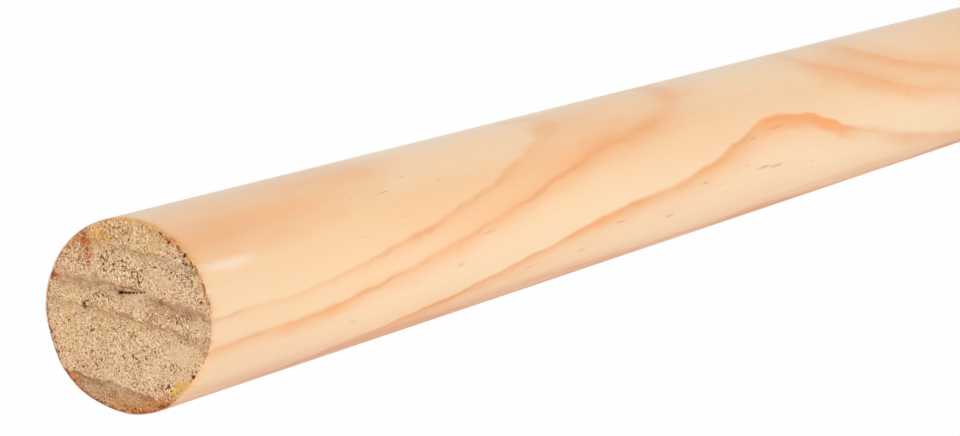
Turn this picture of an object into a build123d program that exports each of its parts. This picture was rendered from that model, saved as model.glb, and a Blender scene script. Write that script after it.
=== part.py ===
from build123d import *
from math import cos, hypot, radians, sin, sqrt
import os

# A round softwood dowel rod in one piece: sanded wall, rough-sawn top end, drying check and broken rim

# Rod, in millimetres: it stands on its plain sawn foot, and the axis is +Z
rod_diameter = 25.4
rod_length = 304.8

# Eased arrises of the two sawn ends
top_arris = 0.2
foot_arris = 0.3

# Drying check in the top end: a slit along a ring, pointed at its tail, widest and deepest at its torn head
check_length = 4.1
check_width = 0.32
check_depth = 2.0
check_pit_diameter = 0.6
check_centre_shares = (0.105, -0.073)
check_turn = 76.3

# Long breaks, where the saw tore strips off the top rim: bite across the end, drop down the wall
# and half span in degrees; a smaller break has a share of the bite and the drop
break_bite = 0.65
break_drop = 1.6
break_turns = (-148.0, 90.0, 143.0)
break_half_spans = (26.0, 23.0, 24.0)
break_size_shares = (1.0, 0.5, 0.45)

# Short nicks in the top rim
nick_bite = 0.3
nick_drop = 0.45
nick_hollow = 3.0
nick_turns = (-50.0, -64.0, -71.0, -104.0, 49.0, 112.0)
nick_size_shares = (1.0, 0.7, 0.8, 0.6, 0.8, 0.7)

# How far a cut runs past the surface that it opens
overrun = 1.0

rod_radius = rod_diameter / 2


def plain_rod():
    """The sanded cylinder with both sawn ends' arrises eased."""
    rod = Cylinder(rod_radius, rod_length, align=(Align.CENTER, Align.CENTER, Align.MIN))
    rod = fillet(rod.edges().filter_by(GeomType.CIRCLE).sort_by(Axis.Z)[-1], top_arris)
    return fillet(rod.edges().filter_by(GeomType.CIRCLE).sort_by(Axis.Z)[0], foot_arris)


def drying_check():
    """The check's hollow: a slit that tapers to its tail in plan and in depth, and the pit at its head."""
    half_length = check_length / 2
    half_width = check_width / 2
    head = ((half_width, half_length), (-half_width, half_length))
    plan = make_face(Polyline((0, -half_length), *head, close=True))
    lid = ((half_length, overrun), (-half_length, overrun))
    side = make_face(Polyline((-half_length, 0), (half_length, -check_depth), *lid, close=True))
    slit = extrude(plan, amount=check_depth + overrun, both=True)
    slit &= extrude(Plane.YZ * side, amount=check_width, both=True)
    pit = Pos(0, half_length) * Sphere(check_pit_diameter / 2)
    centre_x, centre_y = (share * rod_diameter for share in check_centre_shares)
    return Pos(centre_x, centre_y, rod_length) * Rot(Z=check_turn - 90) * (slit + pit)


def long_break(turn, half_span, bite, drop):
    """A bevel off the top rim that dies out at both ends: all outside a cone that is wider than the rod."""
    half_chord = rod_radius * sin(radians(half_span))
    rise = rod_radius - bite - rod_radius * cos(radians(half_span))
    lip = (half_chord**2 + rise**2) / (2 * rise)
    top = (lip - overrun * bite / drop, rod_length + overrun)
    foot = (lip + 2 * bite, rod_length - 2 * drop)
    back = (lip + 2 * bite, rod_length + overrun)
    ring = revolve(Plane.XZ * make_face(Polyline(top, foot, back, close=True)), Axis.Z)
    return Rot(Z=turn) * Pos(rod_radius - bite - lip, 0, 0) * ring


def nick(turn, bite, drop, hollow):
    """A shallow spherical hollow through the top rim, from the bite on the end to the drop on the wall."""
    facet = hypot(bite, drop)
    reach = sqrt(hollow**2 - facet**2 / 4)
    out = rod_radius - bite / 2 + reach * drop / facet
    up = rod_length - drop / 2 + reach * bite / facet
    return Rot(Z=turn) * Pos(out, 0, up) * Sphere(hollow)


dowel_rod = plain_rod() - drying_check()
for turn, half_span, share in zip(break_turns, break_half_spans, break_size_shares):
    dowel_rod -= long_break(turn, half_span, break_bite * share, break_drop * share)
for turn, share in zip(nick_turns, nick_size_shares):
    dowel_rod -= nick(turn, nick_bite * share, nick_drop * share, nick_hollow * share)

os.makedirs("parts", exist_ok=True)
export_step(dowel_rod, "parts/dowel_rod.step")
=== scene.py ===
import math

import bpy
import numpy as np
from mathutils import Matrix, Vector


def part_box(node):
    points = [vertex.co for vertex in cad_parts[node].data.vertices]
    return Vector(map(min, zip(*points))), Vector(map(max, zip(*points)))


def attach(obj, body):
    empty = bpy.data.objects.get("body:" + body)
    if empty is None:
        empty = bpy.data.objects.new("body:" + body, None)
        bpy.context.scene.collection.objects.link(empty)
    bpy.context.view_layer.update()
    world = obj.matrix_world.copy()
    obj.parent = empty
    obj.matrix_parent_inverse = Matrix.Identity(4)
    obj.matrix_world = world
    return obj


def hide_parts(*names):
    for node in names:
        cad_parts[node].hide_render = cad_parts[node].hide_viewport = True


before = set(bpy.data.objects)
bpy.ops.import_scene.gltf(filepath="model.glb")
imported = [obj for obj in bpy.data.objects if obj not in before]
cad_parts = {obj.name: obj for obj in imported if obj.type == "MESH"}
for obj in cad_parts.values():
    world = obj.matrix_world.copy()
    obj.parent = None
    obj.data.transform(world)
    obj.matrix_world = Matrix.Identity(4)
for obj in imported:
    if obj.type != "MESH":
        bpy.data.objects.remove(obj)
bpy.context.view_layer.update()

# A pine dowel rod that stands on its foot: sanded wall, rough-sawn top end, drying check and broken rim

MM = 0.001
SEED = 41

# The rod, from the frame
low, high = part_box("dowel_rod")
DIAMETER = high.x - low.x
LENGTH = high.z - low.z
SKIN = 0.02 * MM  # how far the dressed wall stays inside the solid's facets
RADIUS = DIAMETER / 2 - SKIN

# The camera, by the photograph's frame of 960 by 436 pixels
PHOTO_WIDTH = 960
FOCAL_PIXELS = 3654.0
SENSOR_WIDTH = 36.0
CLIP_START = 0.01
CAMERA_PLACE_SHARES = (-0.0241, -10.6207, 14.9213)  # from the top end's centre, in diameters
CAMERA_FORWARD = (0.0, 0.49566, -0.86852)
CAMERA_UP = (0.95942, -0.24489, -0.13976)

# Studio: soft boxes as (name, place, diameter, power), all aimed at a share of the rod's length
SOFTBOXES = [
    ("front", (0.16, -1.80, 1.90), 1.6, 32.0),
    ("right", (1.64, -0.76, 1.20), 1.6, 13.5),
    ("left", (-1.64, -0.76, 1.20), 1.6, 20.0),
    ("back", (0.20, 1.10, 0.40), 1.0, 8.0),
]
AIM_SHARE = 0.6
WORLD_LEVEL = 0.31
FLOOR_HALF = 3.0
FLOOR_WHITE = 0.50
FLOOR_ROUGHNESS = 0.9
FLOOR_GLOW_SHARE = 0.98

# Growth rings: a ring's place is its distance towards the bark, in diameters from the axis at the top end
BARK_TURN = math.radians(-28.8)
PITH_DISTANCE_SHARE = 5.1
# How far the rings lean along the rod: (distance from the top end, drift), in diameters
RING_DRIFT = [
    (0.0, 0.0), (1.0, -0.01), (2.0, -0.1), (3.0, -0.22), (4.0, -0.35), (4.5, -0.405), (5.0, -0.43),
    (5.5, -0.46), (6.0, -0.53), (6.7, -0.655), (7.0, -0.66), (7.5, -0.625), (8.0, -0.5), (8.5, -0.42),
    (9.0, -0.33), (9.5, -0.25), (10.5, -0.14), (12.0, -0.06),
]
# Late wood on the sanded wall: (ring place, amount), with the crisp edge on the bark side
WALL_LATE_WOOD = [
    (-1.25, 0.3), (-1.1, 0.45), (-1.04, 0.7), (-0.985, 0.85), (-0.955, 0.55), (-0.92, 0.0), (-0.6, 0.0),
    (-0.52, 0.16), (-0.45, 0.34), (-0.41, 0.58), (-0.385, 0.85), (-0.362, 1.0), (-0.348, 0.85),
    (-0.33, 0.05), (-0.15, 0.05), (-0.09, 0.22), (-0.05, 0.45), (-0.022, 0.8), (-0.008, 0.7),
    (0.012, 0.26), (0.05, 0.16), (0.1, 0.38), (0.122, 0.72), (0.132, 0.68), (0.15, 0.06), (0.33, 0.05),
    (0.37, 0.42), (0.42, 0.7), (0.46, 0.7), (0.485, 0.5), (0.52, 0.25),
]
# The same in the lower rod, where its edges are soft
WALL_SOFT_LATE_WOOD = [
    (-1.1, 0.2), (-1.02, 0.45), (-0.92, 0.0), (-0.5, 0.08), (-0.45, 0.25), (-0.4, 0.75), (-0.36, 0.95),
    (-0.31, 0.05), (-0.15, 0.08), (-0.06, 0.52), (-0.01, 0.75), (0.06, 0.4), (0.12, 0.78), (0.17, 0.35),
    (0.24, 0.05), (0.36, 0.3), (0.44, 0.6), (0.52, 0.25),
]
# The dark last cells of a year, thin and broken
WALL_YEAR_LINES = [
    (-0.41, 0.0), (-0.375, 0.25), (-0.358, 1.0), (-0.344, 0.0), (-0.036, 0.0), (-0.016, 0.9),
    (-0.002, 0.0), (0.108, 0.0), (0.13, 1.0), (0.144, 0.0), (0.43, 0.0), (0.465, 0.6), (0.485, 0.0),
]
# Warmth, and a heartwood tint that also paints the shade of the rod's lower edge in the camera's view, by
# the distance towards the bark, in diameters
WARM_SIDE = [
    (-0.5, 0.45), (-0.3, 0.55), (-0.19, 0.32), (-0.09, 0.0), (0.1, 0.05), (0.25, 0.4), (0.38, 0.6),
    (0.46, 0.15), (0.5, 0.05),
]
# the heartwood tint doubles as painted shade along the rod's lower edge in the camera's view
HEART_AND_SHADE_SIDE = [(-0.5, 0.55), (-0.42, 0.85), (-0.37, 0.92), (-0.335, 0.76), (-0.29, 0.28), (-0.23, 0.0)]
# A painted sheen down one side of the wall, pale and cool like a grazing reflection of white surroundings
# on the top edge: its turn, and stops of (distance towards that side in diameters, amount)
PAINTED_SHEEN_TURN = math.radians(12)
PAINTED_SHEEN_SIDE = [(0.31, 0.0), (0.37, 0.12), (0.42, 0.36), (0.475, 0.58), (0.5, 0.56)]
# Late wood on the sawn end, where it cuts smoother and browner
END_LATE_WOOD = [
    (-0.6, 0.5), (-0.5, 0.55), (-0.46, 0.56), (-0.42, 0.6), (-0.395, 0.68), (-0.38, 0.9), (-0.366, 0.95),
    (-0.354, 0.04), (-0.11, 0.0), (-0.05, 0.15), (-0.028, 0.35), (-0.012, 0.75), (-0.004, 0.65),
    (0.006, 0.04), (0.05, 0.06), (0.08, 0.3), (0.108, 0.8), (0.126, 1.0), (0.138, 0.8), (0.152, 0.25),
    (0.18, 0.03), (0.29, 0.03), (0.318, 0.35), (0.334, 0.9), (0.345, 0.55), (0.362, 0.03), (0.46, 0.12),
    (0.52, 0.2),
]

# Late wood on the sawn end is patchy from this ring place on
PATCHY_FROM = -0.3

# The solid's cuts in the top end
TOP_ARRIS = 0.2 * MM
FOOT_ARRIS = 0.3 * MM
CHECK_LENGTH = 4.1 * MM
CHECK_WIDTH = 0.32 * MM
CHECK_DEPTH = 2.0 * MM
CHECK_PIT = 0.6 * MM
CHECK_CENTRE = (0.105 * DIAMETER, -0.073 * DIAMETER)
CHECK_TURN = math.radians(76.3)
# The check as dressed: its slit and the split beside it grow from tail to head, where the pit is
SLIT_TAIL_SHARE = 0.12
SLIT_GAIN_SHARE = 0.26
SLIT_FRAY = 0.02 * MM
SLIT_EDGE = 0.06 * MM
SLIT_DEPTH_SHARE = 0.2
# the slit's darkness is painted shade in the crack
SLIT_DARKNESS = 0.2
HEAD_SQUEEZE = 0.7
HEAD_OFFSET = 0.12 * MM
HEAD_FRAY = 0.06
HEAD_SPAN = (0.25, 0.6)
SPLIT_TAIL_MM = 0.05
SPLIT_GAIN_MM = 0.8
SPLIT_FRAY = 0.05 * MM
SPLIT_SPAN = (0.04 * MM, 0.22 * MM)
SPLIT_TAIL_DARKNESS = 0.4
SPLIT_GAIN_DARKNESS = 0.5
SPLIT_DEPTH = 0.1 * MM
# Its fine lines in colour: beads along the slit, and a sliver that stands off it
CHECK_FADE = [(-1.0, 0.0), (-0.8, 1.0), (1.0, 1.0), (1.1, 0.0)]  # by shares of its half length
BEAD_PITCH = 0.6 * MM
BEAD_SPAN = (0.0, 0.8)
BEAD_GROWTH_SPAN = (0.1, 0.6, 0.4, 1.0)
BEAD_HALVES = (0.06 * CHECK_WIDTH, 0.46 * CHECK_WIDTH)
BEAD_EDGE = 0.05 * MM
BEAD_DARKNESS_SPAN = (0.0, 0.5, 0.55, 1.0)
SLIVER_GAPS = (0.08 * MM, 0.8 * MM)
SLIVER_SPAN = (0.03 * MM, 0.13 * MM, 1.0, 0.0)
# Long breaks of the top rim: (turn and half span in degrees, bite across the end, drop down the wall)
LONG_BREAKS = [
    (-148.0, 26.0, 0.65 * MM, 1.6 * MM), (90.0, 23.0, 0.325 * MM, 0.8 * MM),
    (143.0, 24.0, 0.2925 * MM, 0.72 * MM),
]
# Nicks in the top rim: (turn in degrees, share of the largest one's size)
NICKS = [(-50.0, 1.0), (-64.0, 0.7), (-71.0, 0.8), (-104.0, 0.6), (49.0, 0.8), (112.0, 0.7)]
NICK_BITE = 0.3 * MM
NICK_DROP = 0.45 * MM
NICK_HOLLOW = 3.0 * MM
# The breaks' torn grain, and the worn rim: fine waves, and splintered spans of (turn, spread) in degrees
BREAK_GRAIN = 0.3 * MM
BREAK_ROUGHNESS = 0.05 * MM
BREAK_GRAIN_RISE = 0.1 * MM
BREAK_EDGE = 0.08 * MM
RIM_WAVES = (7, 13, 23, 41, 67, 97)
RIM_WAVE_GAIN = 0.35
RIM_WEAR_MM = 0.03
SPLINTER_WEAR_MM = 0.07
SPLINTERED = [(85, 30), (145, 22)]
RIM_FADE = 0.45 * MM

# Where the saw tore the end or cut it clean, in diameters: (x, y, half length, half width, turn, strength)
TORN_ZONES = [
    (0.375, -0.155, 0.12, 0.06, 60, 0.8), (0.265, 0.025, 0.07, 0.045, 60, 1.0),
    (0.205, -0.09, 0.12, 0.055, 70, 1.0), (0.1, -0.415, 0.16, 0.06, 5, 1.0),
    (0.35, 0.185, 0.06, 0.04, 30, 0.7), (-0.1, -0.27, 0.08, 0.05, 40, 0.5),
    (-0.15, 0.02, 0.08, 0.05, 20, 0.6),
]
SMOOTH_ZONES = [
    (0.065, -0.085, 0.06, 0.035, 75, 0.9), (-0.265, -0.255, 0.08, 0.055, 60, 0.9),
    (-0.105, -0.385, 0.04, 0.025, 40, 0.8), (0.12, -0.265, 0.07, 0.04, 60, 0.7),
    (0.125, 0.34, 0.045, 0.03, 10, 0.9), (0.23, 0.29, 0.07, 0.03, 70, 0.6),
    (-0.11, -0.16, 0.06, 0.03, 60, 0.7), (0.3, -0.28, 0.06, 0.035, 60, 0.5),
]
RIDGE_TURN = math.radians(-20)
SAW_CENTRE = (-0.077 * DIAMETER, -0.332 * DIAMETER)
SAW_TURN = math.radians(13)
SAW_PITCH = 0.39 * MM
SAW_REACH = (1.3 * MM, 1.4 * MM)
# Grain sizes of the sawn end
FRAY_GRAIN = 0.5 * MM
RING_GRAIN = 1.6 * MM
PATCH_GRAIN = 2.6 * MM
SWELL_GRAIN = 4.0 * MM
CLUSTER_GRAIN = 2.2 * MM
FIBRE_GRAIN = 0.17 * MM
RIDGE_GRAIN = 0.24 * MM
PORE_GRAIN = 0.17 * MM
RIDGE_STRETCH = 0.4
PORE_STRETCH = 0.6
# Its relief, in millimetres below the end plane
END_SET_BACK = 0.22
SWELL_HEIGHT = 0.03
FIBRE_HEIGHT = 0.045
RIDGE_HEIGHT = 0.09
PIT_DEPTH = 0.13
# How rings, zones and clusters change the grain and where its pores open
END_RING_STRAY = 0.008
PATCH_MEAN = 0.88
PATCH_SPREAD = 0.2
PATCH_LEAST = 0.3
LATE_SMOOTHNESS = 0.8
SMOOTH_EASE = 0.75
TORN_ROUGHNESS = 0.5
PORE_EDGE = 1.02
CLUSTER_PORES = 0.35
TORN_PORES = 0.45
SMOOTH_PORES = 1.3
PORE_SLOPE = 0.9
PIT_MARK_GAIN = 0.4
RIDGE_CREAM = 0.8
CREAM_SPAN = (0.4, 1.9)
# The plain foot has a share of that relief, and none at its rim
FOOT_RIM = (1.0 * MM, 0.4 * MM)
FOOT_RELIEF_SHARE = 0.5
FOOT_PLANED = 0.05 * MM
FOOT_RELIEF_MOST = 0.2 * MM
FOOT_PIT_EASE = 0.05
FOOT_CREAM_SHARE = 0.6
# Ragged edges of zones and stains
BLOT_FRAY = 0.28
BLOT_FRAY_WIDTH = 0.03  # narrower marks fray less
BLOT_SPAN = (0.45, 1.25)
RIM_FRAY = 0.008
RIM_SPAN_FRAY = 0.1
RIM_SPAN = (0.6, 1.0)
RIM_STAIN_EDGE = 0.012

# Stains of the sawn end, written like those zones, with turns in degrees
STAINS = {
    "pale": [
        (-0.265, -0.255, 0.09, 0.06, 60, 0.8), (0.065, -0.085, 0.06, 0.035, 75, 0.7),
        (0.2, 0.1, 0.15, 0.035, 70, 0.4), (0.15, -0.3, 0.16, 0.06, 70, 0.6),
        (-0.3, 0.15, 0.12, 0.06, 60, 0.4), (-0.17, -0.41, 0.06, 0.045, 30, 0.7),
    ],
    "pink": [
        (0.319, 0.285, 0.06, 0.03, 60, 0.8), (-0.105, -0.385, 0.06, 0.03, 40, 0.3),
        (-0.062, -0.145, 0.075, 0.05, 40, 0.9), (0.14, -0.05, 0.09, 0.02, 72, 0.9),
        (-0.17, 0.33, 0.08, 0.04, 40, 0.5), (-0.05, -0.24, 0.08, 0.045, 80, 0.7),
    ],
    "honey": [
        (0.42, -0.02, 0.14, 0.06, 95, 0.8), (0.12, 0.345, 0.06, 0.04, 20, 0.7),
        (-0.02, 0.37, 0.12, 0.06, 10, 0.5), (0.35, -0.21, 0.13, 0.07, 55, 0.7),
        (-0.06, 0.02, 0.12, 0.03, 65, 0.4), (-0.02, 0.13, 0.06, 0.03, 65, 0.4),
    ],
    "ochre": [
        (0.41, -0.02, 0.045, 0.02, 55, 0.9), (0.44, 0.02, 0.08, 0.04, 100, 0.9),
        (0.33, -0.33, 0.07, 0.035, 45, 0.6), (-0.065, -0.485, 0.07, 0.014, 5, 0.9),
        (-0.08, -0.11, 0.07, 0.014, 60, 0.5), (0.045, 0.13, 0.07, 0.03, 62, 0.35),
        (-0.456, -0.06, 0.06, 0.02, -80, 0.6), (-0.417, -0.19, 0.04, 0.018, -65, 0.6),
        (-0.43, 0.19, 0.07, 0.02, 62, 0.7),
    ],
    "yellow": [(-0.418, -0.185, 0.08, 0.03, -70, 0.85), (-0.432, -0.14, 0.03, 0.018, -70, 1.0)],
    "orange": [
        (0.45, 0.115, 0.075, 0.036, 150, 1.0), (0.375, 0.12, 0.085, 0.028, 158, 0.85),
        (0.304, -0.37, 0.034, 0.024, 40, 1.0), (0.262, -0.411, 0.04, 0.02, 30, 0.8),
        (-0.236, -0.427, 0.04, 0.014, 30, 0.7), (-0.28, -0.38, 0.03, 0.018, 40, 0.6),
        (0.309, 0.363, 0.034, 0.02, 55, 0.7), (-0.445, 0.03, 0.12, 0.04, 92, 0.6),
        (-0.23, 0.4, 0.05, 0.022, 30, 0.7), (-0.385, 0.2, 0.09, 0.03, 68, 0.5),
        (0.39, 0.2, 0.12, 0.06, 60, 0.35),
    ],
    "red": [
        (0.44, 0.112, 0.05, 0.016, 148, 0.4), (0.301, -0.37, 0.03, 0.018, -40, 1.0),
        (0.165, -0.458, 0.024, 0.012, 15, 0.8), (0.021, -0.484, 0.034, 0.014, -8, 0.9),
        (-0.381, -0.28, 0.018, 0.014, 30, 1.0), (0.309, 0.363, 0.022, 0.012, 60, 0.9),
        (-0.18, 0.448, 0.024, 0.012, 20, 0.9), (0.262, -0.411, 0.026, 0.012, 40, 0.6),
        (-0.03, -0.486, 0.016, 0.008, 0, 0.6), (0.054, -0.466, 0.02, 0.012, 5, 0.5),
    ],
    "resin": [
        (0.054, -0.098, 0.009, 0.007, 0, 0.9), (0.35, 0.185, 0.016, 0.011, 0, 0.7),
        (0.2, -0.1, 0.02, 0.011, 10, 0.8), (0.228, -0.06, 0.018, 0.01, 10, 0.7),
        (0.02, -0.215, 0.02, 0.014, 0, 0.7), (-0.062, -0.145, 0.075, 0.05, 40, 0.28),
        (-0.05, -0.24, 0.08, 0.045, 80, 0.26), (0.067, -0.417, 0.02, 0.009, -12, 0.7),
        (0.116, 0.232, 0.028, 0.022, 20, 0.8),
    ],
    "amber": [
        (0.458, 0.04, 0.05, 0.022, 100, 0.8), (0.4, -0.04, 0.04, 0.018, 70, 0.5),
        (0.42, -0.23, 0.06, 0.02, 60, 0.5),
    ],
    "chip": [
        (0.452, 0.118, 0.03, 0.014, -30, 0.5), (0.386, 0.124, 0.02, 0.01, -30, 0.45),
        (0.319, 0.141, 0.028, 0.008, -20, 0.4), (0.352, 0.187, 0.012, 0.009, -20, 0.6),
        (0.33, 0.3, 0.012, 0.008, -10, 0.5), (0.322, 0.262, 0.012, 0.008, -10, 0.5),
        (0.293, -0.36, 0.012, 0.007, -40, 1.0), (0.311, -0.384, 0.012, 0.008, -30, 0.8),
        (0.345, -0.329, 0.012, 0.009, 30, 0.9), (0.26, -0.412, 0.014, 0.008, 60, 0.8),
        (0.211, -0.435, 0.02, 0.01, -50, 1.0), (0.166, -0.461, 0.018, 0.009, 10, 0.9),
        (0.167, -0.424, 0.012, 0.009, -30, 0.8), (0.106, -0.474, 0.013, 0.009, 10, 0.7),
        (0.064, -0.381, 0.014, 0.008, -50, 0.7), (-0.381, -0.278, 0.011, 0.009, 20, 0.9),
        (-0.396, -0.257, 0.009, 0.007, 20, 0.7), (-0.422, 0.17, 0.012, 0.008, 60, 0.7),
        (-0.453, 0.118, 0.012, 0.008, 70, 0.8), (-0.453, 0.026, 0.01, 0.008, 90, 0.6),
        (-0.314, 0.368, 0.02, 0.008, 45, 0.6), (0.116, 0.232, 0.021, 0.018, 0, 0.85),
        (0.305, 0.368, 0.014, 0.008, 50, 0.7), (-0.176, 0.452, 0.014, 0.008, 15, 0.7),
        (0.378, -0.275, 0.011, 0.008, 40, 0.6),
    ],
}
# Stains that stay on the end's flat
FLAT_STAINS = ("red", "chip")
# Stains along the rim: (stain, turn and half span in degrees, inner reach in diameters, strength)
RIM_STAINS = [
    ("pink", 75, 55, 0.455, 0.7), ("pink", 22, 30, 0.45, 0.6), ("orange", 176, 24, 0.446, 0.8),
    ("orange", 138, 26, 0.472, 0.5), ("honey", -40, 50, 0.466, 0.9), ("ochre", -45, 45, 0.474, 0.9),
    ("orange", -30, 60, 0.49, 0.9), ("red", 172, 20, 0.488, 0.6), ("pink", -104, 18, 0.462, 0.6),
    ("orange", 30, 22, 0.488, 0.7), ("chip", 110, 100, 0.477, 0.72), ("chip", 180, 24, 0.478, 0.75),
    ("amber", -42, 42, 0.472, 0.85), ("orange", 18, 13, 0.455, 0.7),
]

# Marks on the wall, in diameters: (from the top end, turn in degrees, half length, half width, strength)
WALL_FLECKS = [
    (2.0, -59, 0.08, 0.006, 0.9), (2.3, -51, 0.04, 0.006, 0.5), (2.56, -37, 0.05, 0.007, 0.5),
    (2.6, -61, 0.045, 0.006, 0.6), (1.68, -57, 0.02, 0.006, 0.7), (1.44, -44, 0.025, 0.006, 0.6),
    (1.8, -26, 0.05, 0.006, 0.7), (2.05, -79, 0.06, 0.006, 0.5), (1.57, -84, 0.06, 0.006, 0.3),
    (2.9, -103, 0.08, 0.007, 0.7), (2.58, -119, 0.055, 0.01, 0.8), (1.47, -136, 0.06, 0.008, 0.5),
    (3.49, -139, 0.06, 0.01, 0.6), (4.16, -139, 0.06, 0.012, 0.5), (4.6, -125, 0.08, 0.008, 0.8),
    (5.77, -115, 0.08, 0.009, 0.9), (5.33, -133, 0.07, 0.014, 0.7), (6.13, -127, 0.05, 0.008, 0.4),
    (6.4, -112, 0.03, 0.007, 0.5), (6.68, -117, 0.11, 0.013, 1.0), (6.88, -119, 0.12, 0.013, 1.0),
    (6.53, -93, 0.05, 0.009, 0.8), (6.93, -90, 0.12, 0.006, 0.8), (7.5, -125, 0.05, 0.007, 0.4),
    (7.27, -38, 0.06, 0.006, 0.5), (3.1, 60, 0.07, 0.007, 0.7), (5.2, 95, 0.08, 0.008, 0.8),
    (1.2, 120, 0.06, 0.007, 0.6), (7.7, 40, 0.07, 0.008, 0.7), (9.8, 150, 0.08, 0.007, 0.7),
    (10.4, 75, 0.06, 0.007, 0.8), (2.2, 20, 0.05, 0.006, 0.6), (6.1, 160, 0.075, 0.008, 0.7),
    (11.1, -20, 0.07, 0.007, 0.7), (4.4, 15, 0.06, 0.007, 0.6), (9.2, -95, 0.06, 0.007, 0.5),
]
WALL_ACCENTS = [
    (0.2, -58, 0.32, 0.075, 0.2), (0.95, -52, 0.6, 0.08, 0.36), (4.1, 70, 0.3, 0.02, 0.5),
    (8.3, 110, 0.35, 0.025, 0.5), (10.8, -140, 0.3, 0.025, 0.45),
]
# Where late wood runs thick and orange: stops of (ring place, amount) and (diameters from the top, amount)
RING_ACCENTS = [
    ([(-0.44, 0.0), (-0.405, 0.75), (-0.36, 1.0), (-0.345, 0.9), (-0.332, 0.0)],
        [(6.5, 0.0), (6.75, 0.55), (7.3, 0.65), (7.6, 1.0), (7.95, 0.85), (8.2, 0.0)]),
    ([(-0.41, 0.0), (-0.375, 0.9), (-0.355, 1.0), (-0.343, 0.0)],
        [(3.2, 0.0), (3.42, 0.5), (3.6, 0.15), (4.1, 0.2), (4.3, 0.75), (4.5, 0.3), (4.7, 0.0)]),
    ([(-0.1, 0.0), (-0.06, 0.7), (-0.012, 1.0), (0.004, 0.0)],
        [
            (0.0, 0.3), (0.2, 0.45), (0.4, 0.1), (0.6, 0.1), (0.76, 0.65), (0.9, 0.45), (1.05, 0.15),
            (1.2, 0.7), (1.35, 0.4), (1.5, 0.0), (7.9, 0.0), (8.3, 0.4), (8.9, 0.45), (9.4, 0.4),
            (9.8, 0.0),
        ]),
    ([(-0.09, 0.0), (-0.03, 0.5), (0.02, 0.55), (0.06, 0.28), (0.11, 0.14), (0.14, 0.0)],
        [(2.0, 0.0), (3.0, 0.4), (3.8, 0.65), (4.6, 0.55), (5.4, 0.2), (6.0, 0.0)]),
    ([(0.08, 0.0), (0.115, 0.8), (0.135, 1.0), (0.148, 0.0)],
        [(8.6, 0.0), (9.1, 0.5), (9.6, 0.5), (10.0, 0.0)]),
]
# A pale smear near the top end, like a mark at full strength
SMEAR = (0.28, -77, 0.26, 0.034)

# Colours, as seen
CREAM = (248, 217, 178)
APRICOT = (246, 198, 149)
LATE_ORANGE = (238, 162, 94)
YEAR_BROWN = (218, 142, 80)
ACCENT_ORANGE = (248, 163, 92)
# heartwood tint, also laid as painted shade on the rod's lower edge
HEART_AND_SHADE_ORANGE = (214, 119, 50)
FLECK_BROWN = (208, 138, 80)
# painted sheen: the grazing reflection on the top edge, laid as colour
PAINTED_SHEEN_TINT = (230, 217, 200)
# darker towards the top end
TOP_END_DARKENING = (222, 190, 154)
SMEAR_PALE = (247, 229, 207)
BREAK_PALE = (234, 188, 144)
END_ROSE = (223, 182, 143)
END_STRAW = (220, 183, 137)
# pale fibres, partly a painted highlight on raised tops
END_PALE_FIBRE_AND_HIGHLIGHT = (252, 226, 190)
END_BROWN = (158, 109, 70)
END_YEAR_BROWN = (124, 82, 50)
PIT_BROWN = (116, 60, 12)
SAW_BROWN = (138, 98, 64)
# painted shade down in the drying check
CHECK_SHADE_BROWN = (58, 16, 2)
SPLIT_BROWN = (140, 84, 58)
STAIN_COLOURS = {
    "pale": (221, 190, 152), "pink": (214, 163, 128), "honey": (213, 172, 116), "ochre": (196, 142, 80),
    "yellow": (226, 176, 80), "orange": (188, 112, 56), "red": (182, 74, 24), "resin": (128, 82, 36),
    "amber": (234, 178, 106), "chip": (90, 30, 4),
}
# How far each mark of the sawn end hides the specks of its grain
SOLID_MARKS = {
    "late": 0.75, "break": 0.8, "smooth": 0.75, "yellow": 0.9, "ochre": 0.3, "orange": 0.3, "amber": 0.5,
    "red": 0.7, "chip": 0.9,
}

# Noise is (share of its pattern kept along the rod, scale, detail)
# Mottle is noise and its span: (low, high, amount at low, amount at high)
# Stray is how far a mark's outline wanders: (scale, share along the rod, reach)
# The wall's rings
RING_WAVER = (0.35, 400.0, 3.0)
RING_WAVER_REACH = 0.05
LATE_PATCHES = ((0.3, 130.0, 4.0), (0.3, 0.68, 0.4, 1.1))
LATE_STRENGTH = 0.85
SOFT_SPAN = (7.8, 8.5)  # where the rings turn soft, in diameters from the top end
YEAR_GAPS = ((0.22, 300.0, 3.0), (0.4, 0.66, 0.02, 0.6))
YEAR_BARK_SPAN = (0.46, 0.36)  # year lines fade towards the bark side
YEAR_SOFT_SPAN = (0.0, 1.0, 1.0, 0.25)  # and where the rings are soft
# The wall's sides
WARM_CLOUDS = ((0.2, 70.0, 3.0), (0.35, 0.7, 0.0, 0.3))
HEART_AND_SHADE_WANDER = (0.3, 45.0, 3.0)
HEART_AND_SHADE_WANDER_REACH = 0.14
HEART_AND_SHADE_WAVER_REACH = 0.06
HEART_AND_SHADE_BACK_REACH = 0.3
# the heartwood tint and its painted shade fade towards the back, +Y, away from the camera
HEART_AND_SHADE_BACK_SPAN = (-0.08, 0.26, 1.0, 0.12)  # the heart side's tint fades towards the back, +Y
HEART_AND_SHADE_VEINS = ((0.06, 300.0, 3.0), (0.34, 0.6, 0.4, 1.1))
# darker towards the top end, fading out by 1.6 diameters down
TOP_END_DARKENING_SPAN = (0.2, 1.6, 0.26, 0.0)  # in diameters from the top end
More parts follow.
